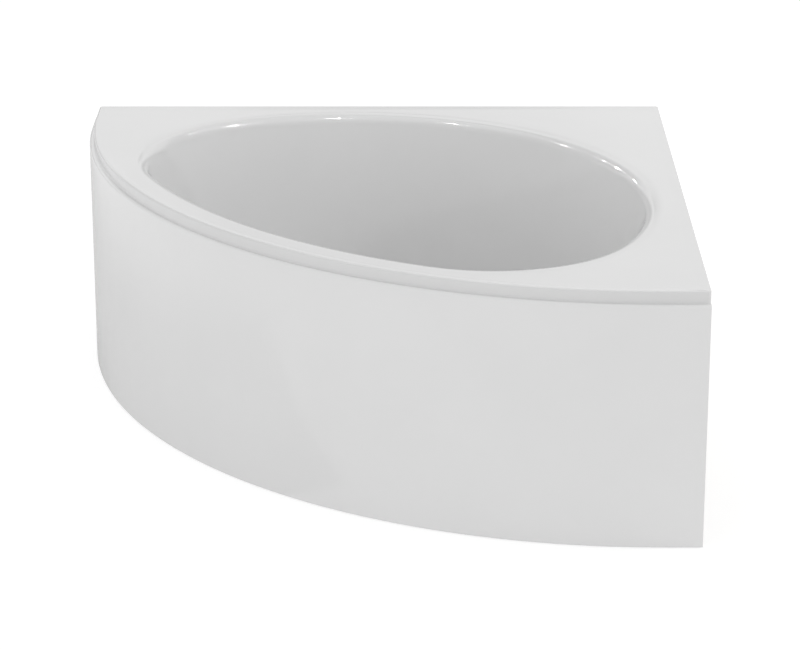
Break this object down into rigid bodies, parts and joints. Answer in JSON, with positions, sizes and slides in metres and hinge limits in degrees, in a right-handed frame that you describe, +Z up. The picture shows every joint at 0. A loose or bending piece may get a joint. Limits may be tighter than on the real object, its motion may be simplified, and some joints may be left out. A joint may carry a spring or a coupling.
{
  "type": "corner bathtub",
  "caption": "Quarter-round corner bathtub with a moulded white basin, a curved front panel, levelling feet, a push plug, an overflow and a trap.",
  "frame": {"origin": "on the floor, under the middle of the square plan", "axes": "+Z up; the two wall sides face +X and +Y, with the room's corner at +X +Y, and the curved panel faces -X -Y"},
  "size_m": [1.411, 1.411, 0.576],
  "materials": {
    "acrylic": "polished white acrylic",
    "panel_acrylic": "polished white acrylic sheet",
    "board": "particle board",
    "timber": "planed softwood",
    "galvanised_steel": "galvanised",
    "zinc_steel": "zinc plated",
    "foot_plastic": "moulded black plastic",
    "chrome": "polished chrome",
    "rubber": "matt black rubber",
    "pipe_plastic": "white pipe plastic",
    "nut_plastic": "moulded white plastic"
  },
  "bodies": {
    "bath": {"bath_shell": "acrylic", "front_panel": "panel_acrylic", "base_board": "board", "rim_batten_back": "timber", "rim_batten_right": "timber", "rim_batten_front": "timber", "panel_block_1": "timber", "panel_block_2": "timber", "panel_block_3": "timber", "panel_bracket_1": "galvanised_steel", "panel_bracket_2": "galvanised_steel", "panel_bracket_3": "galvanised_steel", "wall_bracket_1": "galvanised_steel", "wall_bracket_2": "galvanised_steel", "wall_bracket_3": "galvanised_steel", "wall_bracket_4": "galvanised_steel", "foot_rail_1": "galvanised_steel", "foot_rail_2": "galvanised_steel", "centre_foot_plate": "galvanised_steel", "weld_nuts": "zinc_steel", "lock_nuts": "zinc_steel", "waste_flange": "chrome", "overflow_cover": "chrome", "overflow_screw": "chrome", "waste_seal_upper": "rubber", "waste_seal_lower": "rubber", "overflow_seal": "rubber", "waste_body": "pipe_plastic", "overflow_body": "pipe_plastic", "overflow_pipe": "pipe_plastic", "trap_body": "pipe_plastic", "outlet_pipe": "pipe_plastic", "overflow_nut_upper": "nut_plastic", "overflow_nut_lower": "nut_plastic", "trap_nut": "nut_plastic", "outlet_nut": "nut_plastic"},
    "plug": {"waste_plug": "chrome", "plug_seal": "rubber"},
    "foot_1": {"foot_pad_1": "foot_plastic"},
    "foot_screw_1": {"foot_rod_1": "zinc_steel"},
    "foot_2": {"foot_pad_2": "foot_plastic"},
    "foot_screw_2": {"foot_rod_2": "zinc_steel"},
    "foot_3": {"foot_pad_3": "foot_plastic"},
    "foot_screw_3": {"foot_rod_3": "zinc_steel"},
    "foot_4": {"foot_pad_4": "foot_plastic"},
    "foot_screw_4": {"foot_rod_4": "zinc_steel"},
    "foot_5": {"foot_pad_5": "foot_plastic"},
    "foot_screw_5": {"foot_rod_5": "zinc_steel"}
  },
  "joints": [
    {"name": "plug_lift", "type": "slide", "parent": "bath", "child": "plug", "axis": [0, 0, 1], "range_m": [0, 0.01]},
    {"name": "foot_1_level", "type": "slide", "parent": "bath", "child": "foot_1", "axis": [0, 0, -1], "range_m": [-0.01, 0.015]},
    {"name": "foot_1_turn", "type": "hinge", "parent": "foot_1", "child": "foot_screw_1", "pos_m": [-0.02445, -0.42043, 0.06], "axis": [0, 0, -1], "range_deg": [-2058, 3087]},
    {"name": "foot_2_level", "type": "slide", "parent": "bath", "child": "foot_2", "axis": [0, 0, -1], "range_m": [-0.01, 0.015]},
    {"name": "foot_2_turn", "type": "hinge", "parent": "foot_2", "child": "foot_screw_2", "pos_m": [-0.42043, -0.02445, 0.06], "axis": [0, 0, -1], "range_deg": [-2058, 3087]},
    {"name": "foot_3_level", "type": "slide", "parent": "bath", "child": "foot_3", "axis": [0, 0, -1], "range_m": [-0.01, 0.015]},
    {"name": "foot_3_turn", "type": "hinge", "parent": "foot_3", "child": "foot_screw_3", "pos_m": [0.50763, 0.11165, 0.06], "axis": [0, 0, -1], "range_deg": [-2058, 3087]},
    {"name": "foot_4_level", "type": "slide", "parent": "bath", "child": "foot_4", "axis": [0, 0, -1], "range_m": [-0.01, 0.015]},
    {"name": "foot_4_turn", "type": "hinge", "parent": "foot_4", "child": "foot_screw_4", "pos_m": [0.11165, 0.50763, 0.06], "axis": [0, 0, -1], "range_deg": [-2058, 3087]},
    {"name": "foot_5_level", "type": "slide", "parent": "bath", "child": "foot_5", "axis": [0, 0, -1], "range_m": [-0.01, 0.015]},
    {"name": "foot_5_turn", "type": "hinge", "parent": "foot_5", "child": "foot_screw_5", "pos_m": [0.0436, 0.0436, 0.06], "axis": [0, 0, -1], "range_deg": [-2058, 3087]}
  ],
  "couplings": [
    {"joint": "foot_1_turn", "follows": "foot_1_level", "rad_per_m": 3590.4},
    {"joint": "foot_2_turn", "follows": "foot_2_level", "rad_per_m": 3590.4},
    {"joint": "foot_3_turn", "follows": "foot_3_level", "rad_per_m": 3590.4},
    {"joint": "foot_4_turn", "follows": "foot_4_level", "rad_per_m": 3590.4},
    {"joint": "foot_5_turn", "follows": "foot_5_level", "rad_per_m": 3590.4}
  ]
}
